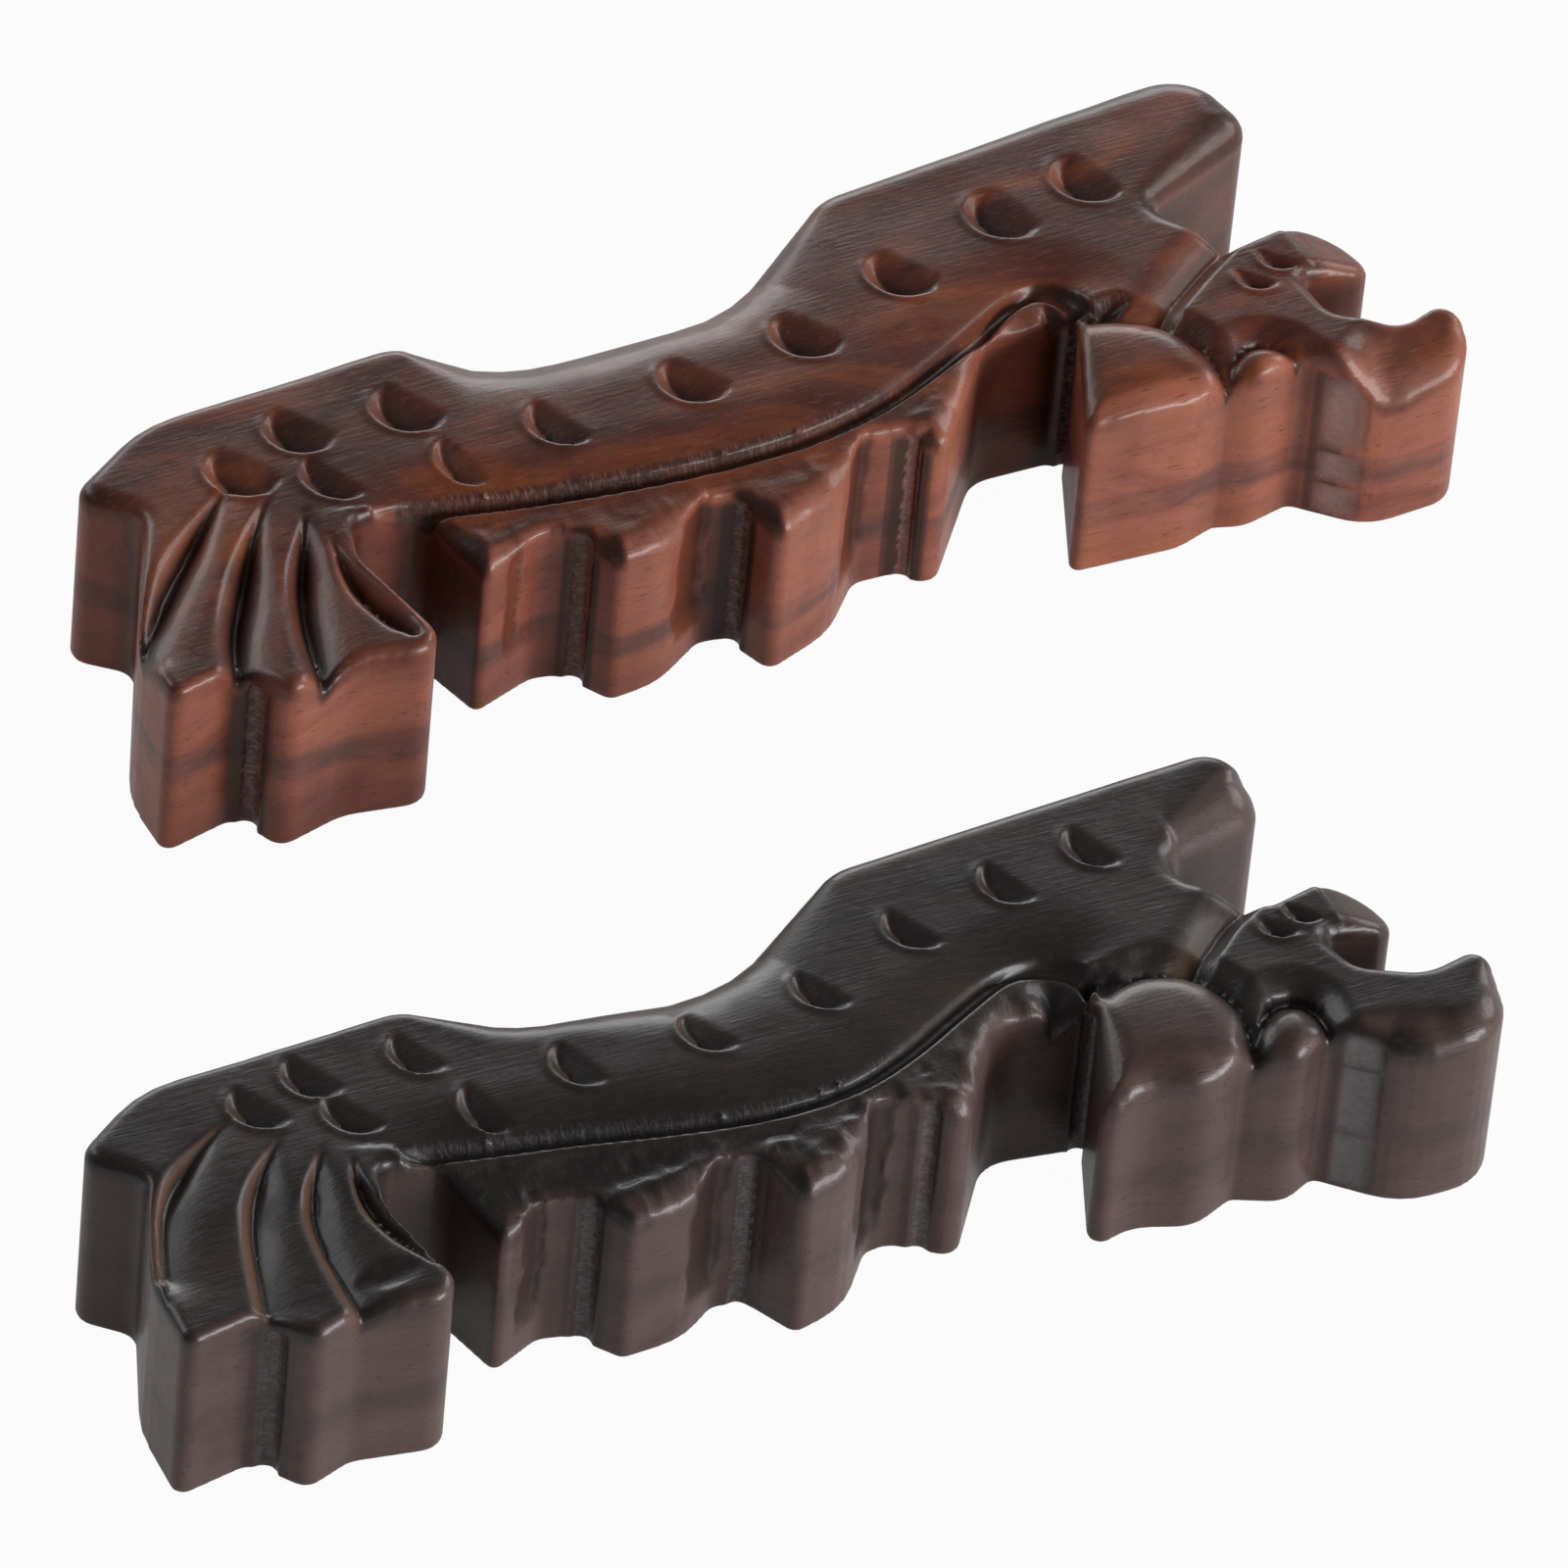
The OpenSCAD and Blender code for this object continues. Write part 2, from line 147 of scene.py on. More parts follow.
EBONY = {
    "node": "ebony_rack", "slot": "ebony", "thick": 18.0, "seed": 8,
    "place": (-82.6246, -53.7907, -3.3),
    "outline": [
        (6.4, 21.2, 2, (1.4, 1)), (1.8, 25.4, 2, (1.6, 1.2)), (10, 31.3, 12, (1.4, 1.1)),
        (33.5, 32.8, 4.5, (1.4, 1.1)), (43.5, 28, 14, (4, 2.2)), (60.5, 27.6, 16, SADDLE),
        (75, 36.6, 6, (2, 1.5)), (112, 39.6, 3.5, (1.8, 1.3)), (114, 32.5, 3.5, (3, 2.6)),
        (100.5, 28, 2.5, (2.6, 2)), (106.8, 19.6, 1, EDGE), (115.8, 22, 4.5, (1.2, 1)),
        (117.2, 14.8, 1.8, (1.2, 1)), (109.5, 15.2, 1.2, (1.8, 1.6)), (110.3, 10.5, 2.5, (1.5, 1.3)),
        (115.5, 7.9, 4, (1.6, 1.4)), (121.6, 9.4, 1.6, (1.6, 1.4)), (120, -0.5, 5.5, (3.4, 2.4)),
        (110.8, -0.6, 7, (4.6, 2.6)), (105.2, 4.7, 1, (1, 1)), (101.8, 3, 3, (2.4, 1.6)),
        (97.7, 4.8, 1, (1.2, 0.9)), (93.4, 2.9, 4, (4.4, 1.9)), (88.5, 4.6, 5, (4.4, 2.2)),
        (83.8, 3.2, 1.1, (5, 2.8)), (88.8, 14.8, 1.2, EDGE), (80.2, 15.9, 4, (1.8, 1.6)),
        (73.3, 6.4, 1.6, FOOT), (68.7, 9.8, 2.5, BEND), (66.4, 9.5, 2, BEND), (62, 4.1, 8, FOOT),
        (56.9, 2.7, 1.1, FOOT), (54.7, 7.2, 1.6, BEND), (52, 8.1, 2, BEND), (48, 5.3, 8, FOOT),
        (42.4, 4.9, 1.1, FOOT), (39.4, 8.9, 2, BEND), (36.8, 9.4, 2.2, BEND), (31.9, 7.1, 0.8, FOOT),
        (30, 14.8, 2, EDGE), (27, 15.5, 0.6, EDGE), (24.6, 16, 1.5, (1.2, 1)), (23, 11.6, 5, LIP),
        (26.1, 0, 2.4, RIM), (16.6, 1.4, 3, RIM), (12.1, -0.3, 1.6, RIM), (9, 4, 2, (1, 0.8)),
        (1.8, 2.5, 1.1, (1, 0.8)), (2.2, 10.8, 12, (1.4, 1))],
    "belly": [(26.4, 17.6), (32, 16.3), (41, 14.8), (50, 13), (58, 12), (65, 12.6), (71, 14.8), (77, 18),
              (82, 20.4), (86, 20.9), (88.6, 19.6), (90, 17.4)],
    "ledge": [(88.4, 15.4), (80, 4), (79, -6), (26.8, -6), (26.8, 16.8)],
    "drop": (1.9, 2.2, 1.8, 0.9, 1.0, 1.0, 1.1, 1.6), "tilt": (57, 0.045), "bevel": (6.5, 1.0),
    "chatter": 0.05, "chips": 0.5, "dusk": 0.0, "lit_cheeks": 0.6, "bare": 0.25, "gloom": 0.8,
    "scales": [(18.6, 25.7, 2.9, 208, 1.6, 0.2), (24.2, 27.7, 2.9, 208, 1.6, 0.2),
               (25.6, 22.6, 2.9, 212, 1.5, 0.1), (33.5, 27.3, 2.9, 204, 1.5, 0.1),
               (36.4, 19.4, 3.0, 198, 1.6, 0.0), (45.4, 21.5, 2.9, 198, 1.5, 0.1),
               (57, 21.6, 2.9, 204, 1.6, 0.1), (67.9, 23, 2.9, 206, 1.6, 0.1),
               (78.1, 27.2, 2.9, 206, 1.6, 0.1), (88.1, 29.7, 2.9, 201, 1.6, 0.1),
               (96.8, 31.4, 2.9, 201, 1.5, 0.1)],
    "eyes": [(106.6, 17, 1.8, 222, 1.3, 0.0), (109.4, 18, 1.8, 222, 1.3, 0.0)],
    "flutes": [([(15.2, 24.8), (10, 21.3), (6.4, 17.2), (3.6, 10.6)], 1.5, 2.3, True),
               ([(18.4, 21.6), (14.9, 17.8), (12.3, 13), (9.6, 4.4)], 1.6, 2.4, True),
               ([(21, 19.2), (18.5, 15.2), (17, 10.4), (16.6, 1)], 1.6, 2.4, True),
               ([(22.8, 17.6), (22.2, 15), (22, 12), (22.6, 8.8), (24.4, 4.6)], 1.6, 1.2, False)],
    "fan": ((21, 20), (13, 0), 1.0, (0.6, 1.7), 1.0, 0.05),
    "neck": [(109.2, 22.8), (103.2, 19.6), (100, 17), (97.6, 15)],
    "pits": [(95, 17.6, 2.0, 1.0, 0.4), (89.8, 16.6, 1.8, 1.6, 1.5), (20.3, 4.2, 2.8, 1.5, 0.5)],
    "lobes": [([(89.6, 15.2), (91.2, 15.9), (93.8, 16.2), (96.9, 15), (99, 12), (99.4, 8), (97.8, 2.6)],
               [(92, -4), (80, -4), (80, 4), (88.2, 15)], 0.1, (92.4, 10.5, 10)),
              ([(98, 2.6), (99.6, 6.6), (101.8, 9.4), (104.3, 9.7), (105.6, 8), (105.2, 3.4)],
               [(106, -3), (98, -3)], 0.8, (102.4, 5.6, 5))],
    "strokes": [((111.6, 17.6), (0.93, 0.1), 0.55, (110.5, 14, 120, 25), 1.0, 0.3),
                ((105.5, 34.2), (0.56, -0.83), 0.26, (102, 24, 118, 41), 0.5, 0.8)],
    "chamfer": None,
    "streaks": [(35.4, 8.8, 1.25, 0.5, 3.2, 20), (50.0, 6.6, 2.0, 0.6, 3.4, 20),
                (65.8, 8.7, 2.0, 0.6, 2.6, 20)],
    "columns": [(39.7, 7.6, 1.1, 0.05, 17), (53.6, 6.8, 1.1, 0.05, 17.2), (70.3, 7.8, 1.1, 0.05, 17.2),
                (9.5, 2.5, 1.1, 0.05, 16), (88.3, 14.2, 0.9, 0.05, 16.4)],
    "strip": (107.4, 2.4, 1.9, 0.5, (0.3, 6, 13.3, 16.6), 5),
}


def smooth_path(points, steps=6):
    """Points on a smooth curve through the given ones."""
    p = np.array(points, float)
    out = []
    for i in range(len(p) - 1):
        a, b, c, d = p[max(i - 1, 0)], p[i], p[i + 1], p[min(i + 2, len(p) - 1)]
        for k in range(steps):
            t = k / steps
            out.append(b + (c - a) * t / 2 + (2 * a - 5 * b + 4 * c - d) * t * t / 2
                       + (3 * b - a - 3 * c + d) * t ** 3 / 2)
    out.append(p[-1])
    return np.array(out)


def rounded(corners, step=12):
    """Outline with an arc at each corner; each point carries its corner's edge rounding."""
    points, edges = [], []
    n = len(corners)
    for i, (x, y, r, edge) in enumerate(corners):
        b = np.array((x, y), float)
        u = np.array(corners[i - 1][:2], float) - b
        v = np.array(corners[(i + 1) % n][:2], float) - b
        u /= np.linalg.norm(u)
        v /= np.linalg.norm(v)
        half = math.acos(float(np.clip(u @ v, -1, 1))) / 2
        mid = b + (u + v) / np.linalg.norm(u + v) * r / math.sin(half)
        start = b + u * r / math.tan(half) - mid
        turn = (math.pi - 2 * half) * np.sign(-u[0] * v[1] + u[1] * v[0])
        count = max(1, math.ceil(abs(math.degrees(turn)) / step))
        for k in range(count + 1):
            a = math.atan2(start[1], start[0]) + turn * k / count
            points.append((mid[0] + r * math.cos(a), mid[1] + r * math.sin(a)))
            edges.append(edge)
    return np.array(points), np.array(edges, float)


def nearest(points, x, y, closed=False):
    """Distance to a line, the place along it (point number) and the side, positive on its left."""
    best = np.full(x.shape, 1e9)
    along = np.zeros(x.shape)
    side = np.zeros(x.shape)
    n = len(points)
    for i in range(n if closed else n - 1):
        a, b = points[i], points[(i + 1) % n]
        ex, ey = b - a
        t = np.clip(((x - a[0]) * ex + (y - a[1]) * ey) / (ex * ex + ey * ey + 1e-12), 0, 1)
        dx = x - a[0] - t * ex
        dy = y - a[1] - t * ey
        d = dx * dx + dy * dy
        m = d < best
        best[m] = d[m]
        along[m] = i + t[m]
        side[m] = np.sign(ex * dy - ey * dx)[m]
    return np.sqrt(best), along, side


def within(points, x, y):
    """Which places lie inside a closed line."""
    inside = np.zeros(x.shape, bool)
    n = len(points)
    for i in range(n):
        (x1, y1), (x2, y2) = points[i], points[(i + 1) % n]
        if y1 == y2:
            continue
        inside ^= ((y1 > y) != (y2 > y)) & (x < (x2 - x1) * (y - y1) / (y2 - y1) + x1)
    return inside


def ease(a, b, v):
    """0 up to a, 1 from b on, smooth between."""
    t = np.clip((v - a) / (b - a), 0, 1)
    return t * t * (3 - 2 * t)


def band(a, b, c, d, v):
    """Rises from a to b and falls again from c to d."""
    return ease(a, b, v) * (1 - ease(c, d, v))


def lower(a, b, k):
    """Smaller of two heights with a soft meeting of width k."""
    t = np.clip(0.5 + 0.5 * (b - a) / k, 0, 1)
    return b * (1 - t) + a * t - k * t * (1 - t)


def noise(x, y, size, seed):
    """Smooth noise from -1 to 1 with bumps of the given size."""
    table = np.random.default_rng(seed).uniform(-1, 1, (TABLE, TABLE))
    u, v = x / size + 7.3, y / size + 3.1
    i, j = np.floor(u).astype(int), np.floor(v).astype(int)
    f, g = u - i, v - j
    f = f * f * (3 - 2 * f)
    g = g * g * (3 - 2 * g)

    def at(p, q):
        return table[p % TABLE, q % TABLE]

    return ((at(i, j) * (1 - f) + at(i + 1, j) * f) * (1 - g)
            + (at(i, j + 1) * (1 - f) + at(i + 1, j + 1) * f) * g)


def blurred(a, times):
    """Running average with the neighbours."""
    for _ in range(times):
        p = np.pad(a, 1, mode="edge")
        a = (p[1:-1, 1:-1] * 4 + p[:-2, 1:-1] + p[2:, 1:-1] + p[1:-1, :-2] + p[1:-1, 2:]) / 8
    return a


def spread(a, reach):
    """Average over squares of the given half size, three times over."""
    for _ in range(3):
        for axis in (0, 1):
            pad = [(0, 0), (0, 0)]
            pad[axis] = (reach + 1, reach)
            total = np.cumsum(np.pad(a, pad), axis=axis)
            n = total.shape[axis]
            upper = np.take(total, range(2 * reach + 1, n), axis=axis)
            a = (upper - np.take(total, range(n - 2 * reach - 1), axis=axis)) / (2 * reach + 1)
    return a


def scale_depth(x, y, cut):
    """Depth of a gouge cut with a tilted floor that runs out at the back, and where its wall is."""
    cx, cy, r, heading, depth, back = cut
    ux, uy = math.cos(math.radians(heading)), math.sin(math.radians(heading))
    dx, dy = x - cx, y - cy
    far = np.hypot(dx, dy)
    floor = depth * np.clip((dx * ux + dy * uy + back * r) / (r * (1 + back)), 0, 1) ** 1.4
    steep = 0.85 + 2.9 * ease(0.3, 0.95, -dy / np.maximum(far, 0.05))
    wall = np.clip((r - far) * steep, 0, None)
    rim = 0.16 * np.exp(-((far - r - 0.3) / 0.4) ** 2) * ease(0.0, 0.7, (dx * ux + dy * uy) / r)
    return np.minimum(floor, wall) - rim, (wall < floor) * (far < r)


class Face:
    """Carved upper face over a plan grid: its height, and masks that the look of the wood follows."""

    def __init__(self, rack, x, y):
        self.rack = rack
        self.x = x
        self.y = y
        self.thick = rack["thick"]
        self.seed = rack["seed"]
        self.h = self.thick + 0.12 * noise(x, y, 14, self.seed) + 0.05 * noise(x, y, 4, self.seed + 1)
        # Fresh cuts, rough marks, painted shade on floors, side colour that is partly side grain and partly
        # painted light, open slopes kept out of the painted shade of hollows
        self.masks = {name: np.zeros(x.shape) for name in ("cut", "rough", "shade", "side_colour_and_light", "mild")}

    def mark(self, name, mask):
        """Add to a mask, so that the stronger of the two shows at each place."""
        self.masks[name] = np.maximum(self.masks[name], mask)


def carve_fan(face):
    """Fan lowered towards its rim, with flutes that are steeper on one side."""
    x, y, rack = face.x, face.y, face.rack
    (ax, ay), (bx, by), drop, lean, fresh, light = rack["fan"]
    run = ((x - ax) * (bx - ax) + (y - ay) * (by - ay)) / ((bx - ax) ** 2 + (by - ay) ** 2)
    fan = (x < rack["belly"][0][0] + 0.8) & (y < FAN_BACK)
    face.h = face.h - np.where(fan, drop * ease(0.1, 1, run), 0)
    for path, depth, width, opened in rack["flutes"]:
        line = smooth_path(path)
        d, along, side = nearest(line, x, y)
        u = along / (len(line) - 1)
        steep, broad = lean if opened else (1.0, 1.0)
        w = 1.2 * width * np.where(side < 0, steep, broad) * (0.3 + 0.7 * ease(0, 0.6, u))
        deep = depth * (0.08 + 0.92 * ease(0, 0.45, u)) * (1 - 0.25 * ease(0.7, 1, u))
        if not opened:
            w = w * (1 - 0.4 * ease(0.8, 1, u))
        v = np.clip(1 - d / w, 0, 1)
        face.h = face.h - deep * v * v
        # Painted shade on the flute floors
        face.mark("shade", 0.9 * ease(0.6, 0.9, v) * ease(0, 0.3, u))
        wall = band(0.25, 0.5, 0.8, 0.95, v) * (side < 0) * ease(0, 0.15, u)
        face.mark("cut", fresh * wall)
        face.mark("mild", band(0, 0.15, 0.6, 0.8, v))
        # Painted light: the side colour on the broad side of each flute
        slope = band(0.02, 0.2, 0.45, 0.75, v) * (side > 0) * ease(0.05, 0.3, u)
        face.mark("side_colour_and_light", light * slope)


def carve_belly(face):
    """Bevel, gouge marks, groove and lip along the belly, and the ledge over the feet, which it returns."""
    x, y, rack, seed = face.x, face.y, face.rack, face.seed
    line = smooth_path(rack["belly"])
    d, along, side = nearest(line, x, y)
    u = along / (len(line) - 1)
    span = np.concatenate([[0], np.cumsum(np.hypot(*np.diff(line, axis=0).T))])
    length = np.interp(along, np.arange(len(line)), span)
    s = d * side

    tooth = (length + 0.55 * s) / TOOTH + 0.5 * noise(length, s, 1.7, seed + 2)
    saw = (tooth - np.floor(tooth) - 0.5) * (0.5 + 0.7 * noise(np.floor(tooth), 0 * s, 0.9, seed + 3))
    reach = 1.3 + 0.5 * noise(np.floor(tooth), 0 * s, 0.7, seed + 5)
    marks = band(0.02, 0.08, 0.3, 0.7, u)
    s = s + rack["chatter"] * saw * marks * ease(-1.2, -0.2, s) * (1 - ease(reach - 0.5, reach, s))

    wide, deep = rack["bevel"]
    bevel = deep * np.clip(1 - s / wide, 0, 1) ** 2 * (0.35 + 0.65 * band(0, 0.09, 0.9, 1, u))
    face.h = face.h - np.where(s > 0, bevel, 0)

    ledge = within(np.concatenate([line, np.array(rack["ledge"], float)]), x, y)
    level_from, fall = rack["tilt"]
    front = np.interp(-s, LEDGE_AT, (deep,) + rack["drop"])
    front = front + fall * np.clip(level_from - x, 0, None) * ease(1, 6, -s)
    chip = np.abs(noise(x, y, 3.4, seed + 6)) + 0.5 * np.abs(noise(x, y, 1.5, seed + 7))
    front = front + rack["chips"] * chip * ease(1.7, 3, -s)
    arch = np.interp(-s, ARCH_AT, (deep,) + ARCH_DROP)
    narrow = ease(0.72, 0.84, u)
    start = 0.3 + 0.7 * ease(0, 0.07, u)
    face.h = np.where(ledge, face.thick - (front * (1 - narrow) + arch * narrow) * start, face.h)
    face.mark("rough", (1 - ease(0.2, 0.65, np.abs(s - 0.1))) * marks)
    face.mark("rough", 0.5 * rack["chips"] * ledge * ease(1.5, 2.5, -s))
    return ledge


def carve_scales(face):
    """Gouge cuts of the scales and the eyes, with painted shade on their floors and bare wood colour on their
    left walls.
    """
    x, y, rack = face.x, face.y, face.rack
    for item in rack["scales"] + rack["eyes"]:
        cx, _, r, _, deepest, _ = item
        depth, wall = scale_depth(x, y, item)
        left = (cx - x) / r
        face.h = face.h - depth
        # Bare wood colour only on the left wall, which faces the light: partly painted light
        face.mark("cut", rack["bare"] * wall * ease(-0.2, 0.8, left))
        # Painted shade on the deep floor
        floor_shade = ease(0.3, 0.65, depth / deepest) * (0.55 + 0.45 * ease(-0.4, 0.3, left))
        face.mark("shade", floor_shade * (1 - 0.6 * wall * (x < cx)))


def carve_head(face):
    """Valley behind the head, pits, cheeks, faces cut flat with one stroke, and the lower lip."""
    x, y, rack, thick = face.x, face.y, face.rack, face.thick
    line = smooth_path(rack["neck"])
    d, along, side = nearest(line, x, y)
    u = along / (len(line) - 1)
    deep, head_reach, neck_reach = VALLEY
    valley = np.where(side > 0, np.clip(1 - d / head_reach, 0, 1), np.clip(1 - d / neck_reach, 0, 1) ** 1.7)
    face.h = face.h - deep * valley * (1 - 0.25 * u) * (1 - ease(1.5, 5, d) * (u >= 0.999))
    face.mark("cut", 0.8 * ease(0.15, 0.8, valley) * (side < 0))

    for px, py, pw, ph, deep in rack["pits"]:
        q = np.hypot((x - px) / pw, (y - py) / ph)
        ragged = 0.1 * deep * noise(x, y, 0.8, face.seed + 4) * (1 - ease(0.7, 1.4, q))
        face.h = face.h - deep * np.clip(1 - q, 0, 1) ** 0.8 + ragged
        face.mark("rough", 0.5 * deep * (1 - ease(0.8, 1.4, q)))

    for edge, rest, drop, (mx, my, reach) in rack["lobes"]:
        line = smooth_path(edge)
        d, _, _ = nearest(line, x, y)
        lobe = within(np.concatenate([line, np.array(rest, float)]), x, y)
        wide, deep = SHOULDER
        shoulder = np.sqrt(1 - 0.99 * np.clip(1 - d / wide, 0, 1) ** 2)
        dome = PILLOW * np.clip(np.hypot(x - mx, y - my) / reach, 0, 1.3) ** 2
        face.h = np.where(lobe, np.minimum(face.h, thick - drop - dome - deep * (1 - shoulder)), face.h)
        # Painted light: the side colour on the cheek tops
        face.mark("side_colour_and_light", rack["lit_cheeks"] * lobe * ease(0.2, 1.6, d))
        wide, deep = BANK
        face.h = np.where(lobe, face.h, face.h - deep * np.clip(1 - d / wide, 0, 1) ** 1.6)

    for (sx, sy), (ux, uy), slope, (x0, y0, x1, y1), soft, facet_light in rack["strokes"]:
        area = ease(x0 - 0.5, x0 + 1.5, x) * ease(y0 - 0.5, y0 + 0.5, y) * (x < x1) * (y < y1)
        plane = thick + 0.1 - slope * ((x - sx) * ux + (y - sy) * uy)
        face.h = np.where(area > 0, lower(face.h, plane + 6 * (1 - area), soft), face.h)
        # Painted light: the side colour on the facet
        face.mark("cut", 0.3 * (1 - facet_light) * area * ease(0.05, 0.6, thick - plane))
        face.mark("side_colour_and_light", facet_light * area * ease(0.05, 0.3, thick - plane))

    if rack["chamfer"]:
        (x0, z0), (x1, z1), y0, run = rack["chamfer"]
        base = z0 + (z1 - z0) * np.clip((x - x0) / (x1 - x0), -0.2, 1.2)
        p = np.clip((y - y0) / run, 0, 2)
        plane = base + (thick - 0.3 - base) * p ** 1.15 + 5 * (1 - ease(x0 - 5, x0 + 3, x))
        lip = (y < y0 + 1.6 * run) & (x > x0 - 5)
        face.mark("cut", 0.3 * ease(-0.4, 0.8, face.h - plane) * lip)
        face.h = np.where(lip, lower(face.h, plane, 2.0), face.h)


def round_edge(face, dist, edges, ledge):
    """Rounded edge all round, with painted light where it faces the light, painted shade on ledge slopes that
    face away, and a darker crest end.
    """
    x, y = face.x, face.y
    width, drop = edges[..., 0], edges[..., 1]
    t = np.clip(1 - np.clip(-dist, 0, None) / width, 0, 1)
    face.h = blurred(face.h - drop * (1 - np.sqrt(1 - t * t * 0.998)), 1)
    lean = np.gradient(face.h, GRID, axis=1)
    # Painted light: the side colour on the rounded edge where it faces the light
    side_colour_and_light = ease(0.15, 0.65, t) * np.maximum(ledge, y < FRONT) * (1 - ease(0.05, 0.4, lean))
    face.mark("side_colour_and_light", blurred(side_colour_and_light, 4))
    # Painted shade on ledge slopes that face away from the light
    face.mark("shade", 0.8 * ledge * ease(0.05, 0.4, lean))
    crest = (x > CREST[0]) * (y > CREST[1])
    face.mark("shade", face.rack["dusk"] * ease(0.05, 0.5, t) * crest)


def carve(rack, x, y, dist, edges):
    """Carved upper face of one rack."""
    face = Face(rack, x, y)
    carve_fan(face)
    ledge = carve_belly(face)
    carve_scales(face)
    carve_head(face)
    round_edge(face, dist, edges, ledge)
    return face


def walls(rack, x, y, z, dist):
    """Cuts into the upright faces: depth, round grooves, and masks of streaks, of chatter and plates that
    carry painted sheen, and of painted shade on the flanks.
    """
    shape = z.shape + x.shape
    seed = rack["seed"]
    back, fresh, chatter, plate, flank_shade = (np.zeros(shape) for _ in range(5))
    bore = np.full(shape, -9.0)
    zz = z[:, None, None]
    for cx, cy, half, depth, low, high in rack["streaks"]:
        near = (np.abs(x - cx) < 4) & (np.abs(y - cy) < 4)
        sway = 0.35 * noise(zz, 0 * zz + cx, 2.4, seed + 30) - 0.04 * (zz - 9)
        sway = sway + 0.25 * noise(zz, x[None], 0.8, seed + 31)
        v = np.clip(1 - ((x[None] - cx + sway) / half) ** 4, 0, 1) * near[None]
        rise = band(low - 0.6, low + 2.5, high - 0.8, high + 0.6, zz)
        back = np.maximum(back, depth * v * rise)
        fresh = np.maximum(fresh, v * ease(low - 0.6, low + 0.6, zz) * (zz < high))

    rng = np.random.default_rng(seed + 20)
    for cx, cy, radius, size, top in rack["columns"]:
        far = np.hypot(x - cx, y - cy)
        steps = np.cumsum(rng.uniform(0.8, 1.5, COLUMN_MARKS)) - 2
        turn = np.arctan2(y - cy, x - cx) * 0.9
        teeth = np.interp(zz + turn[None], steps, np.arange(COLUMN_MARKS)) % 1
        hole = radius + size * (teeth - 0.5) - far[None]
        over = ease(top - 1.2, top + 0.4, zz)
        bore = np.maximum(bore, hole * (1 - over) - 3 * over)
        # Painted sheen down the middle of the groove, painted shade on its flanks
        near = 1 - ease(radius + 0.2, radius + 0.9, far)
        middle = near * ease(0.1, 0.25, -dist)
        chatter = np.maximum(chatter, middle[None] * (1 - over))
        flank = (1 - ease(radius + 0.5, radius + 1.1, far)) * (1 - middle)
        flank_shade = np.maximum(flank_shade, flank[None] * (1 - over))

    cx, cy, half, depth, levels, crisp = rack["strip"]
    far = np.hypot(x - cx, y - cy)
    v = np.clip(1 - (far / half) ** crisp, 0, 1)
    for low, high in zip(levels[:-1], levels[1:]):
        w = np.clip(1 - ((zz - (low + high) / 2) / ((high - low) / 2)) ** (2 * crisp), 0, 1)
        lean = 0.7 + 0.3 * np.clip((zz - low) / (high - low), 0, 1)
        back = np.maximum(back, depth * v[None] * w * lean)
        plate = np.maximum(plate, v[None] ** 1.4 * w)
    # Painted shade on the strip's flank and in the gaps between its plates
    flank = (1 - ease(half + 0.4, half + 0.9, far)) * (x < cx)
    flank_shade = np.maximum(flank_shade, 0.8 * flank[None] * (1 - plate) * (zz < levels[-1]))
    return back, fresh, bore, chatter, plate, flank_shade


def nooks(rack, x, y, dist):
    """How dark the upright faces are where little light reaches them."""
    rear, facing = np.gradient(blurred(dist, 4), GRID)
    nook = ease(0.52, 0.72, spread((dist < 0).astype(float), 10))
    head_side = 0.7 * ease(0.35, 0.9, facing) * ease(9.5, 12, y) * (x > 95)
    crest_end = 0.85 * ease(21, 24, y) * ease(97, 101, x) * (1 - ease(0.1, 0.7, rear))
    foot_side = 0.85 * ease(0.5, 0.9, -facing) * (x > 29) * (x < 36) * (y > 8)
    mouth = 0.7 * (x > 109) * ease(10, 12.5, y) * (1 - ease(15.5, 18.5, y))
    gap = rack["gloom"] * (band(21.5, 23.5, 30, 32, x) * ease(7, 12, y) * (y < 18))
    for place in (head_side, crest_end, foot_side, mouth, gap):
        nook = np.maximum(nook, place)
    return nook


def surface(field, low, step):
    """Quads on the zero level of a field sampled on a regular grid (z, y, x)."""
    nz, ny, nx = field.shape
    inside = field < 0
    total = nz * ny * nx
    sums = np.zeros((3, total))
    count = np.zeros(total)
    stride = (ny * nx, nx, 1)
    quads = []
    for axis in range(3):
        head = [slice(1, -1)] * 3
        tail = [slice(1, -1)] * 3
        head[axis] = slice(0, -1)
        tail[axis] = slice(1, None)
        a, b = field[tuple(head)], field[tuple(tail)]
        k, j, i = np.nonzero(inside[tuple(head)] != inside[tuple(tail)])
        va, vb = a[k, j, i], b[k, j, i]
        t = va / (va - vb)
        at = [k + (axis != 0), j + (axis != 1), i + (axis != 2)]
        cell = at[0] * stride[0] + at[1] * stride[1] + at[2]
        p, q = [s for n, s in enumerate(stride) if n != axis]
        around = [cell - p - q, cell - q, cell, cell - p]
        for c in around:
            count += np.bincount(c, minlength=total)
            for n in range(3):
                sums[n] += np.bincount(c, weights=at[n] + (t if n == axis else 0), minlength=total)
        ring = np.stack(around, 1)
        flip = (va < 0) != (axis == 1)
        ring[~flip] = ring[~flip][:, ::-1]
        quads.append(ring)
    used = np.nonzero(count)[0]
    index = np.full(total, -1)
    index[used] = np.arange(len(used))
    points = (sums[:, used] / count[used]).T[:, ::-1] * step + low
    return points, index[np.concatenate(quads)]


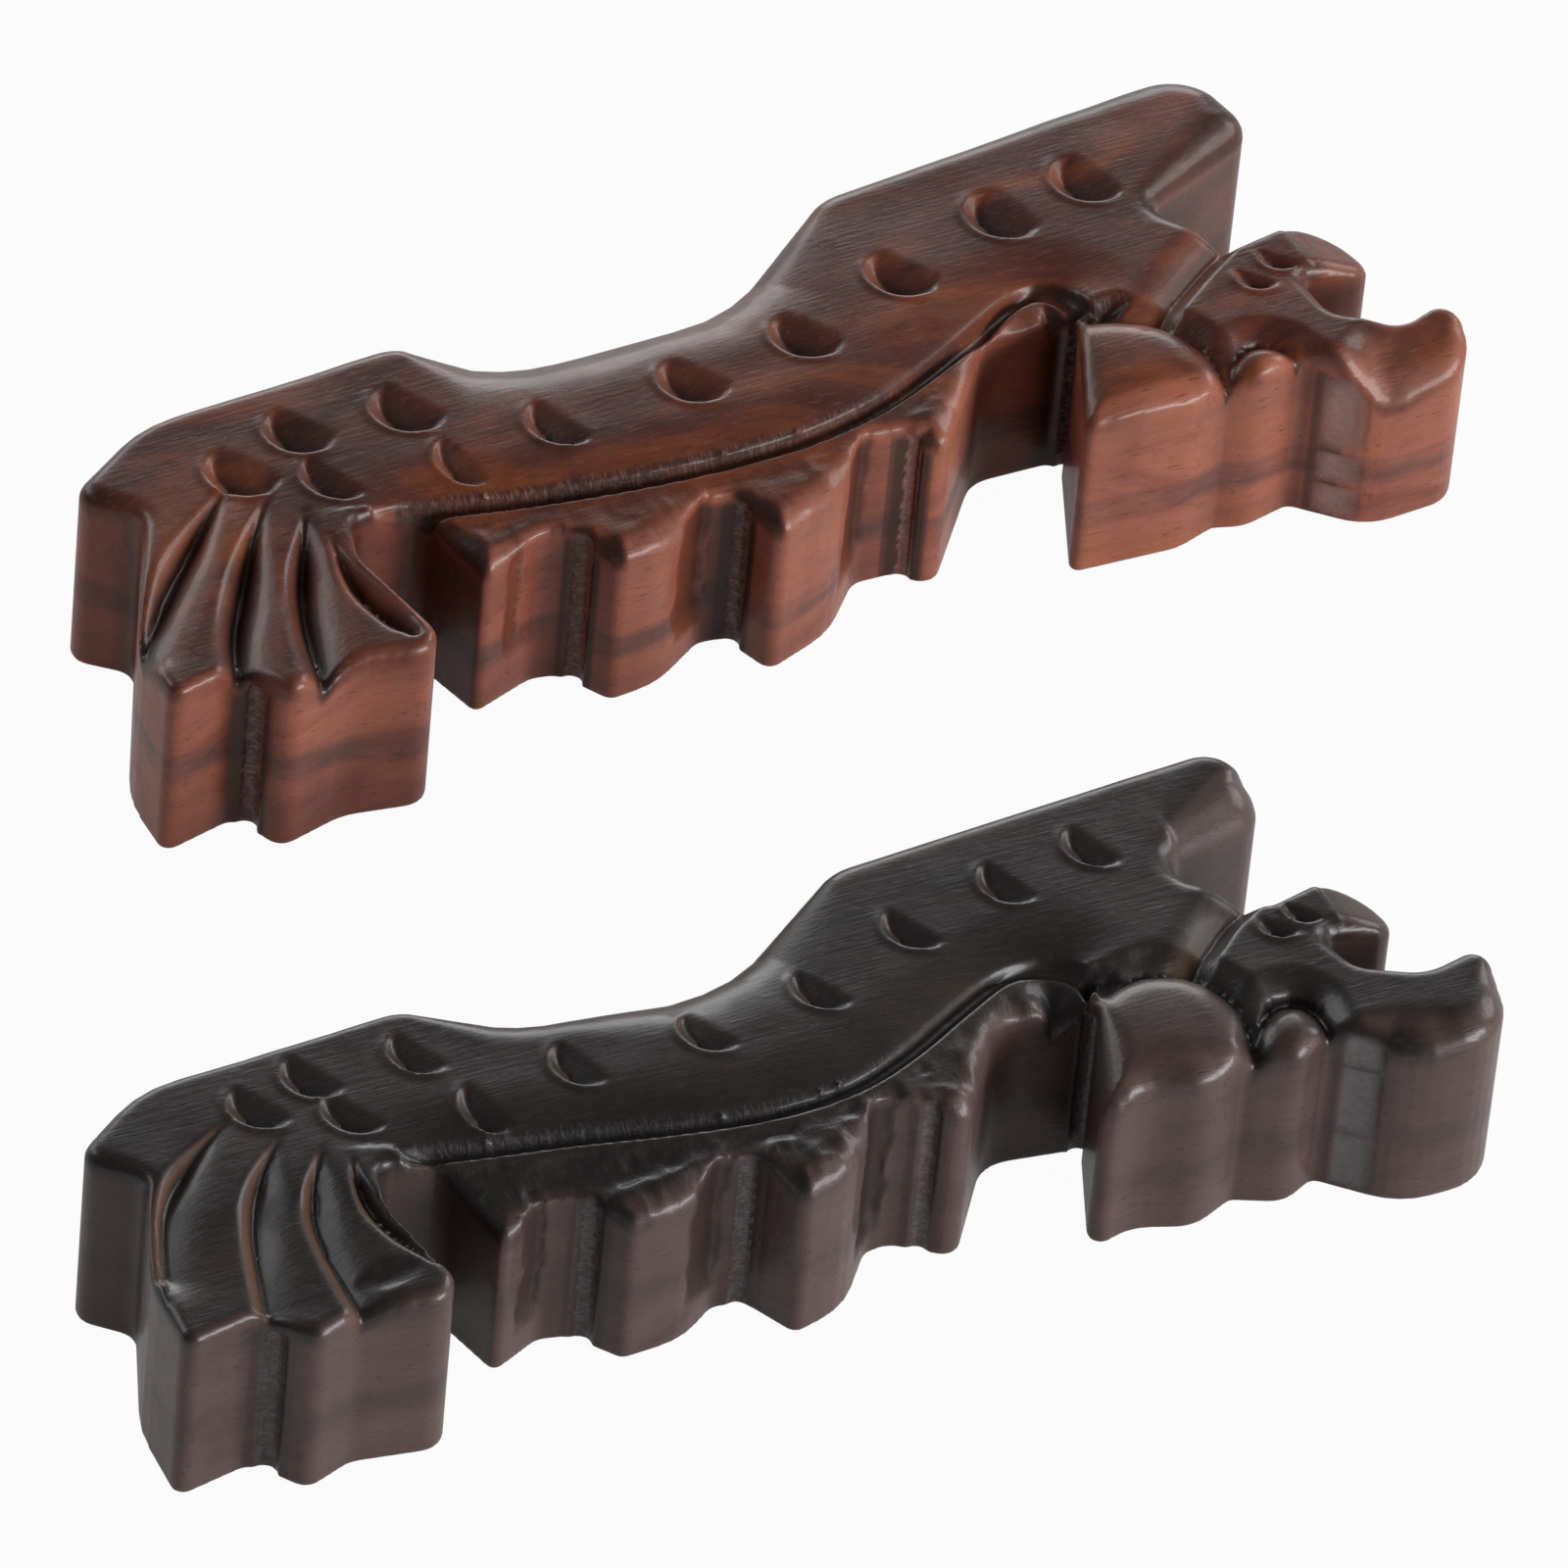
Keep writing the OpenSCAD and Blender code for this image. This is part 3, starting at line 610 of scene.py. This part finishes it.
def settle(points, quads, times):
    """Even the surface out a little without shrinking it."""
    pairs = np.concatenate([quads[:, [0, 1]], quads[:, [1, 2]], quads[:, [2, 3]], quads[:, [3, 0]]])
    n = len(points)
    degree = np.bincount(pairs[:, 0], minlength=n)[:, None]
    pull, push = 0.5, -0.52
    for k in range(2 * times):
        ends = points[pairs[:, 1]]
        total = [np.bincount(pairs[:, 0], weights=ends[:, c], minlength=n) for c in range(3)]
        mean = np.stack(total, 1) / degree
        points = points + (mean - points) * (pull if k % 2 == 0 else push)
    return points


def sample(a, x, y, low):
    """Values of a plan grid at scattered places."""
    u = np.clip((x - low[0]) / GRID, 0, a.shape[1] - 1.001)
    v = np.clip((y - low[1]) / GRID, 0, a.shape[0] - 1.001)
    i, j = u.astype(int), v.astype(int)
    f, g = u - i, v - j
    return (a[j, i] * (1 - f) + a[j, i + 1] * f) * (1 - g) + (a[j + 1, i] * (1 - f) + a[j + 1, i + 1] * f) * g


def make_piece(rack, verts, quads, values):
    """Blender piece from a surface in the rack's own plan, with named values on its points."""
    px, py, pz = verts.T
    ox, oy, turn = rack["place"]
    c, s = math.cos(math.radians(turn)), math.sin(math.radians(turn))
    world = np.stack([px * c - py * s + ox, px * s + py * c + oy, pz], 1) / MM_PER_M
    mesh = bpy.data.meshes.new(rack["node"] + "_carved")
    mesh.vertices.add(len(world))
    mesh.vertices.foreach_set("co", world.ravel())
    mesh.loops.add(quads.size)
    mesh.loops.foreach_set("vertex_index", quads.ravel())
    mesh.polygons.add(len(quads))
    mesh.polygons.foreach_set("loop_start", np.arange(0, quads.size, 4))
    mesh.update(calc_edges=True)
    mesh.validate()
    mesh.polygons.foreach_set("use_smooth", np.ones(len(mesh.polygons), bool))
    for name, v in values.items():
        a = mesh.attributes.new(name, "FLOAT", "POINT")
        a.data.foreach_set("value", v.astype(np.float32))
    piece = bpy.data.objects.new(rack["node"] + "_carved", mesh)
    bpy.context.scene.collection.objects.link(piece)
    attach(piece, "root")
    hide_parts(rack["node"])
    return piece


def build(rack):
    """Sculpted piece that stands for one CAD block."""
    points, corner_edges = rounded(rack["outline"])
    low = points.min(0) - MARGIN * GRID
    high = points.max(0) + MARGIN * GRID
    xs = np.arange(low[0], high[0] + GRID, GRID)
    ys = np.arange(low[1], high[1] + GRID, GRID)
    zs = np.arange(-2 * RISE - OFFSET, rack["thick"] + 3 * RISE, RISE)
    x, y = np.meshgrid(xs, ys)
    dist, along, _ = nearest(points, x, y, closed=True)
    dist = np.where(within(points, x, y), -dist, dist)
    i = np.floor(along).astype(int) % len(points)
    f = (along - np.floor(along))[..., None]
    edges = corner_edges[i] * (1 - f) + corner_edges[(i + 1) % len(points)] * f
    face = carve(rack, x, y, dist, edges)
    back, fresh, bore, chatter, plate, flank_shade = walls(rack, x, y, zs, dist)

    # Solid below the face and inside the walls, as a field that is negative inside
    gy, gx = np.gradient(face.h, GRID)
    tilt = np.sqrt(1 + gx * gx + gy * gy)
    zz = zs[:, None, None]
    turned_in = np.clip(1 - zz / LOWER_ROUND, 0, 1)
    foot = LOWER_ROUND * (1 - np.sqrt(np.clip(1 - turned_in ** 2, 0, 1)))
    field = np.maximum(np.maximum(dist[None] + back, bore) + foot, (zz - face.h[None]) / tilt[None])
    field = np.maximum(field, -zz).astype(np.float32)
    verts, quads = surface(field, np.array((low[0], low[1], zs[0])), np.array((GRID, GRID, RISE)))
    verts = settle(verts, quads, 1)
    verts[:, 2] = np.maximum(verts[:, 2], 0)

    # Values on the points: those of the face where it is near, and of the walls elsewhere
    px, py, pz = verts.T
    layer = np.clip(np.round((pz - zs[0]) / RISE).astype(int), 0, len(zs) - 1)
    col = np.clip(np.round((px - low[0]) / GRID).astype(int), 0, len(xs) - 1)
    row = np.clip(np.round((py - low[1]) / GRID).astype(int), 0, len(ys) - 1)
    on_top = ease(-1.2, 0.2, pz - sample(face.h, px, py, low) + 0.2)
    on_wall = 1 - on_top
    # Depth below the surrounding surface, which the material darkens as painted shade
    hollow = np.clip(blurred(face.h, AROUND) - face.h, -1, 3) * (1 - 0.8 * face.masks["mild"])
    names = ("cut", "rough", "shade", "side_colour_and_light")
    cut, rough, shade, side_colour_and_light = (sample(face.masks[name], px, py, low) for name in names)
    nook = sample(nooks(rack, x, y, dist), px, py, low)
    values = {
        "hollow": sample(hollow, px, py, low) * on_top,
        "cut": cut * on_top,
        "streak": fresh[layer, row, col] * on_wall,
        "rough": rough * on_top,
        "chatter": chatter[layer, row, col] * on_wall,
        "plate": plate[layer, row, col] * on_wall,
        "wall": np.maximum(on_wall, side_colour_and_light),
        "shade": np.maximum(shade * on_top, np.maximum(nook, flank_shade[layer, row, col]) * on_wall),
    }
    return make_piece(rack, verts, quads, values)


class Nodes:
    """Short way to write a node tree."""

    def __init__(self, tree):
        self.tree = tree

    def put(self, kind, inputs=None, **props):
        node = self.tree.nodes.new(kind)
        for k, v in props.items():
            setattr(node, k, v)
        for k, v in (inputs or {}).items():
            if isinstance(v, bpy.types.NodeSocket):
                self.tree.links.new(v, node.inputs[k])
            else:
                node.inputs[k].default_value = v
        return node

    def math(self, op, a, b=0.0, c=0.0, clamp=False):
        return self.put("ShaderNodeMath", {0: a, 1: b, 2: c}, operation=op, use_clamp=clamp).outputs[0]

    def mix(self, fac, a, b, blend="MIX"):
        node = self.put("ShaderNodeMix", {0: fac, 6: a, 7: b}, data_type="RGBA", blend_type=blend)
        return node.outputs[2]

    def ramp(self, fac, *stops):
        node = self.put("ShaderNodeValToRGB", {0: fac})
        e = node.color_ramp.elements
        while len(e) < len(stops):
            e.new(0.5)
        for item, (pos, v) in zip(e, stops):
            item.position = pos
            item.color = v if isinstance(v, tuple) else (v, v, v, 1)
        return node.outputs[0]

    def attribute(self, name):
        return self.put("ShaderNodeAttribute", attribute_name=name).outputs["Fac"]

    def stretched(self, vector, scale, turn=0.0):
        inputs = {"Vector": vector, "Scale": scale, "Rotation": (0, 0, turn)}
        return self.put("ShaderNodeMapping", inputs).outputs[0]

    def noise(self, vector, scale, detail=2.0, rough=0.5, distort=0.0, turn=0.0):
        """Noise with its own scale along each axis."""
        inputs = {"Vector": self.stretched(vector, scale, turn), "Scale": 1.0, "Detail": detail,
                  "Roughness": rough, "Distortion": distort}
        return self.put("ShaderNodeTexNoise", inputs).outputs["Fac"]


def wood(name, look):
    """Oiled and waxed wood with layers, figure, fibres, pores, painted shade in hollows, painted sheen on
    tool marks and paler bare cuts.
    """
    m = bpy.data.materials.new(name)
    m.use_nodes = True
    m.node_tree.nodes.clear()
    n = Nodes(m.node_tree)
    where = n.put("ShaderNodeTexCoord").outputs["Object"]
    mm = n.stretched(where, (MM_PER_M, MM_PER_M, MM_PER_M), look["turn"])
    xyz = n.put("ShaderNodeSeparateXYZ", {0: mm})

    # Growth layers lie nearly level in the block, so the sides show them as stripes
    drift = n.noise(mm, (0.03, 0.06, 0.06), 3.0)
    bend = n.ramp(n.math("MULTIPLY_ADD", xyz.outputs[0], 0.02, 0.8), (0.0, 1.0), (0.5, 0.0))
    level = n.math("MULTIPLY_ADD", bend, -look["bend"], xyz.outputs[2])
    level = n.math("MULTIPLY_ADD", n.math("SUBTRACT", drift, 0.5), 4.0, level)
    layers = n.ramp(n.math("DIVIDE", level, LAYER_SPAN), *look["layers"])
    patch = n.ramp(n.noise(mm, (0.12, 0.12, 0.5), 3.0), (0.34, 0.1), (0.64, 0.7))
    layers = n.math("MAXIMUM", layers, patch)

    # Figure, clouds, fibres, flecks and pores, and the hatching of tools
    figure = n.noise(mm, (0.05, 0.11, 0.11), 4.0, 0.6, 1.0, 0.3)
    cloud = n.ramp(n.noise(mm, (0.2, 0.2, 0.03)), (0.36, 0.0), (0.64, 1.0))
    fibre = n.ramp(n.noise(mm, (0.14, 2.6, 2.6), 4.0, 0.65), (0.3, 0.0), (0.7, 1.0))
    flecks = n.ramp(n.noise(mm, (0.6, 3.2, 3.2)), (0.58, 0.0), (0.72, 1.0))
    pores = n.ramp(n.noise(mm, (0.45, 5.0, 5.0), 1.0, 0.4), (0.27, 1.0), (0.35, 0.0))
    hatch = n.ramp(n.noise(mm, (1.1, 1.1, 2.2), 3.0, 0.7), (0.42, 0.0), (0.6, 1.0))
    strokes = n.ramp(n.noise(mm, (1.5, 1.5, 3.2), 3.0, 0.6), (0.42, 0.0), (0.66, 1.0))
    fringe = n.ramp(n.noise(mm, (3.2, 0.9, 0.9)), (0.48, 0.0), (0.64, 1.0))
    hollow, cut, streak, rough, wall, chatter, shade, plate = (n.attribute(key) for key in (
        "hollow", "cut", "streak", "rough", "wall", "chatter", "shade", "plate"))

    # Colour of the sound wood; the paler side colour is partly side grain and partly painted light
    face = n.ramp(figure, *look["face"])
    side = n.ramp(figure, *look["side"])
    side = n.mix(n.math("MULTIPLY", cloud, 0.5), side, look["cloud"], "MULTIPLY")
    side = n.mix(layers, look["band"], side)
    colour = n.mix(wall, face, side)
    colour = n.mix(n.math("MULTIPLY", fibre, 0.38), colour, n.mix(1.0, colour, look["fibre"], "MULTIPLY"))
    colour = n.mix(n.math("MULTIPLY", flecks, 0.26), colour, look["fleck"])
    colour = n.mix(n.math("MULTIPLY", pores, 0.5), colour, look["pore"])

    # Bare cuts and streaks, painted shade in hollows and on shaded floors, darker rough marks, worn ridges,
    # painted sheen on tool marks and plates
    bare = n.math("MULTIPLY", cut, look["bare"][0], clamp=True)
    bare = n.math("MULTIPLY", bare, n.math("MULTIPLY_ADD", figure, 1.2, 0.2), clamp=True)
    colour = n.mix(bare, colour, look["bare"][1])
    colour = n.mix(n.math("MULTIPLY", streak, 0.92), colour, look["streak"])
    # Painted shade in hollows and on shaded floors; rough marks darker, lighter along their strokes
    deep = n.math("MULTIPLY", n.ramp(hollow, (0.3, 0.0), (1.0, 1.0)), look["hollow"][0])
    deep = n.math("MAXIMUM", deep, n.math("MULTIPLY", rough, n.math("MULTIPLY_ADD", fringe, -0.5, 0.8)))
    deep = n.math("MAXIMUM", deep, n.math("MULTIPLY", shade, look["hollow"][0]))
    colour = n.mix(deep, colour, look["hollow"][1], "MULTIPLY")
    worn = n.math("MULTIPLY", n.ramp(n.math("MULTIPLY", hollow, -1.0), (0.3, 0.0), (0.7, 1.0)), figure)
    colour = n.mix(n.math("MULTIPLY", worn, look["worn"][0]), colour, look["worn"][1])
    # Painted sheen on groove chatter, strip plates and the strokes of rough marks
    painted_sheen = n.math("MULTIPLY", chatter, n.math("MULTIPLY_ADD", strokes, 0.6, 0.12))
    painted_sheen = n.math("MAXIMUM", painted_sheen, n.math("MULTIPLY", plate, n.math("MULTIPLY_ADD", hatch, 0.25, 0.6)))
    painted_sheen = n.math("MAXIMUM", painted_sheen, n.math("MULTIPLY", n.math("MULTIPLY", rough, fringe), 0.1))
    colour = n.mix(painted_sheen, colour, look["chatter"])

    # Fine relief and gloss
    tool = n.noise(mm, (0.9, 1.2, 1.0), turn=0.6)
    nicks = n.math("MULTIPLY", n.math("ADD", strokes, fringe), n.math("MAXIMUM", rough, chatter))
    marks = n.math("MULTIPLY_ADD", nicks, 1.1, n.math("MULTIPLY", tool, 0.6))
    grain = n.math("MULTIPLY_ADD", fibre, 0.5, n.math("MULTIPLY", pores, -0.4))
    relief = n.math("ADD", grain, marks)
    bump = n.put("ShaderNodeBump", {"Strength": 0.2, "Distance": 0.0002, "Height": relief}).outputs[0]
    uneven = n.put("ShaderNodeTexNoise", {"Vector": mm, "Scale": 0.35, "Detail": 3.0, "Roughness": 0.6})
    gloss = n.math("MULTIPLY_ADD", uneven.outputs["Fac"], 0.2, look["rough"])
    gloss = n.math("MULTIPLY_ADD", fibre, 0.05, gloss)
    gloss = n.math("MULTIPLY_ADD", n.math("MAXIMUM", n.math("MAXIMUM", rough, streak), cut), 0.25, gloss)
    shader = n.put("ShaderNodeBsdfPrincipled", {"Base Color": colour, "Roughness": gloss, "Normal": bump})
    shader.inputs["Specular IOR Level"].default_value = look["shine"]
    shader.inputs["Coat Weight"].default_value = look["coat"]
    shader.inputs["Coat Roughness"].default_value = 0.14
    n.put("ShaderNodeOutputMaterial", {0: shader.outputs[0]})
    return m


def rgb(r, g, b):
    """Opaque colour."""
    return (r, g, b, 1.0)


# Looks: turn of the grain, bend of the layers, gloss, layers by height, and colours; the side colours are
# partly painted light, the hollow colour is painted shade and the chatter colour is painted sheen
rosewood = wood("waxed_rosewood", {
    "turn": -math.radians(ROSE["place"][2]), "bend": 2.8, "rough": 0.25, "coat": 0.2, "shine": 0.35,
    "layers": [(0.02, 1.0), (0.1, 0.8), (0.14, 1.0), (0.215, 1.0), (0.27, 0.15), (0.335, 0.1), (0.39, 1.0),
               (0.62, 1.0), (0.7, 0.8), (0.8, 1.0)],
    "face": [(0.32, rgb(0.05, 0.014, 0.01)), (0.5, rgb(0.11, 0.028, 0.017)), (0.66, rgb(0.23, 0.06, 0.02))],
    "side": [(0.35, rgb(0.28, 0.08, 0.048)), (0.52, rgb(0.39, 0.125, 0.08)), (0.7, rgb(0.43, 0.135, 0.07))],
    "cloud": rgb(0.66, 0.58, 0.55), "band": rgb(0.12, 0.05, 0.042), "fibre": rgb(0.6, 0.55, 0.52),
    "fleck": rgb(0.34, 0.13, 0.08), "pore": rgb(0.03, 0.01, 0.008), "bare": (0.8, rgb(0.24, 0.06, 0.016)),
    "streak": rgb(0.17, 0.036, 0.012), "chatter": rgb(0.42, 0.28, 0.26),
    "hollow": (0.95, rgb(0.13, 0.12, 0.12)), "worn": (0.35, rgb(0.26, 0.09, 0.05))})
ebony = wood("waxed_ebony", {
    "turn": -math.radians(EBONY["place"][2]), "bend": 0.0, "rough": 0.25, "coat": 0.2, "shine": 0.4,
    "layers": [(0.0, 0.8), (0.2, 1.0), (0.35, 0.5), (0.45, 0.9), (0.7, 0.7), (1.0, 0.9)],
    "face": [(0.34, rgb(0.016, 0.012, 0.011)), (0.55, rgb(0.026, 0.019, 0.017)),
             (0.72, rgb(0.042, 0.025, 0.018))],
    "side": [(0.35, rgb(0.095, 0.056, 0.05)), (0.55, rgb(0.13, 0.078, 0.07)),
             (0.7, rgb(0.145, 0.085, 0.074))],
    "cloud": rgb(0.7, 0.62, 0.6), "band": rgb(0.04, 0.026, 0.023), "fibre": rgb(0.6, 0.58, 0.57),
    "fleck": rgb(0.09, 0.065, 0.056), "pore": rgb(0.009, 0.007, 0.007),
    "bare": (0.85, rgb(0.13, 0.05, 0.018)), "streak": rgb(0.028, 0.013, 0.009),
    "chatter": rgb(0.19, 0.18, 0.19),
    "hollow": (0.7, rgb(0.4, 0.36, 0.34)), "worn": (0.5, rgb(0.14, 0.08, 0.045))})

for rack, material in ((ROSE, rosewood), (EBONY, ebony)):
    build(rack).data.materials.append(material)

# Camera at the photograph's angle: level turn, height and roll in degrees
turn, height, roll = math.radians(-32.2), math.radians(40), math.radians(5.6)
away = Vector((math.sin(turn) * math.cos(height), -math.cos(turn) * math.cos(height), math.sin(height)))
level = Vector((math.cos(turn), math.sin(turn), 0))
upright = away.cross(level)
right = level * math.cos(roll) + upright * math.sin(roll)
up = upright * math.cos(roll) - level * math.sin(roll)
aim = Vector((0.0069, 0.00716, 0))
distance = 1.33
spot = aim + away * distance
camera = bpy.data.objects.new("camera", bpy.data.cameras.new("camera"))
camera.data.lens = 360
camera.data.sensor_width = 36
camera.data.clip_end = 20
camera.matrix_world = Matrix((
    (right.x, up.x, away.x, spot.x),
    (right.y, up.y, away.y, spot.y),
    (right.z, up.z, away.z, spot.z),
    (0, 0, 0, 1)))
bpy.context.scene.collection.objects.link(camera)
bpy.context.scene.camera = camera


def lamp(name, place, size, power):
    """Soft box that shines on the pair."""
    data = bpy.data.lights.new(name, "AREA")
    data.shape = "RECTANGLE"
    data.size, data.size_y = size
    data.energy = power
    o = bpy.data.objects.new(name, data)
    o.location = place
    o.rotation_euler = (Vector(LAMP_AIM) - Vector(place)).to_track_quat("-Z", "Y").to_euler()
    bpy.context.scene.collection.objects.link(o)


lamp("front_box", (0.72, -1.05, 0.34), (0.8, 0.4), 14)
lamp("right_box", (1.2, 0.1, 0.6), (0.7, 0.5), 5)
lamp("back_box", (-0.55, 0.9, 0.75), (0.5, 0.5), 2)
lamp("far_box", (0.6, 1.2, 0.36), (0.9, 0.36), 4.5)
lamp("left_box", (-0.25, 1.3, 0.42), (0.6, 0.4), 2.2)

# White surroundings: plain white to the camera, softer as light and in gloss
world = bpy.data.worlds.new("studio")
world.use_nodes = True
bpy.context.scene.world = world
world.node_tree.nodes.clear()
n = Nodes(world.node_tree)
path = n.put("ShaderNodeLightPath")
sky = n.put("ShaderNodeSeparateXYZ", {0: n.put("ShaderNodeTexCoord").outputs["Generated"]}).outputs[2]
soft = n.math("MULTIPLY_ADD", n.ramp(sky, (0.05, 1.0), (0.3, 0.0)), 0.35, 0.12)
seen = path.outputs["Is Camera Ray"]
strength = n.math("MAXIMUM", seen, soft)
n.put("ShaderNodeOutputWorld", {0: n.put("ShaderNodeBackground", {0: WHITE, 1: strength}).outputs[0]})

# White table that keeps the shadows
bpy.ops.mesh.primitive_plane_add(size=6)
floor = bpy.context.object
floor.name = "floor"
paper = bpy.data.materials.new("white_table")
paper.use_nodes = True
paper.node_tree.nodes.clear()
n = Nodes(paper.node_tree)
path = n.put("ShaderNodeLightPath")
matte = n.put("ShaderNodeBsdfDiffuse", {0: (0.86, 0.86, 0.86, 1)})
white = n.put("ShaderNodeEmission", {0: WHITE, 1: 1.0})
seen = n.math("MULTIPLY", path.outputs["Is Camera Ray"], 0.95)
seen = n.math("MULTIPLY_ADD", path.outputs["Is Glossy Ray"], 0.3, seen)
seen = n.math("MAXIMUM", seen, n.math("MULTIPLY", path.outputs["Is Transmission Ray"], 0.95), clamp=True)
mixed = n.put("ShaderNodeMixShader", {0: seen, 1: matte.outputs[0], 2: white.outputs[0]})
n.put("ShaderNodeOutputMaterial", {0: mixed.outputs[0]})
floor.data.materials.append(paper)

bpy.context.scene.view_settings.view_transform = "Standard"
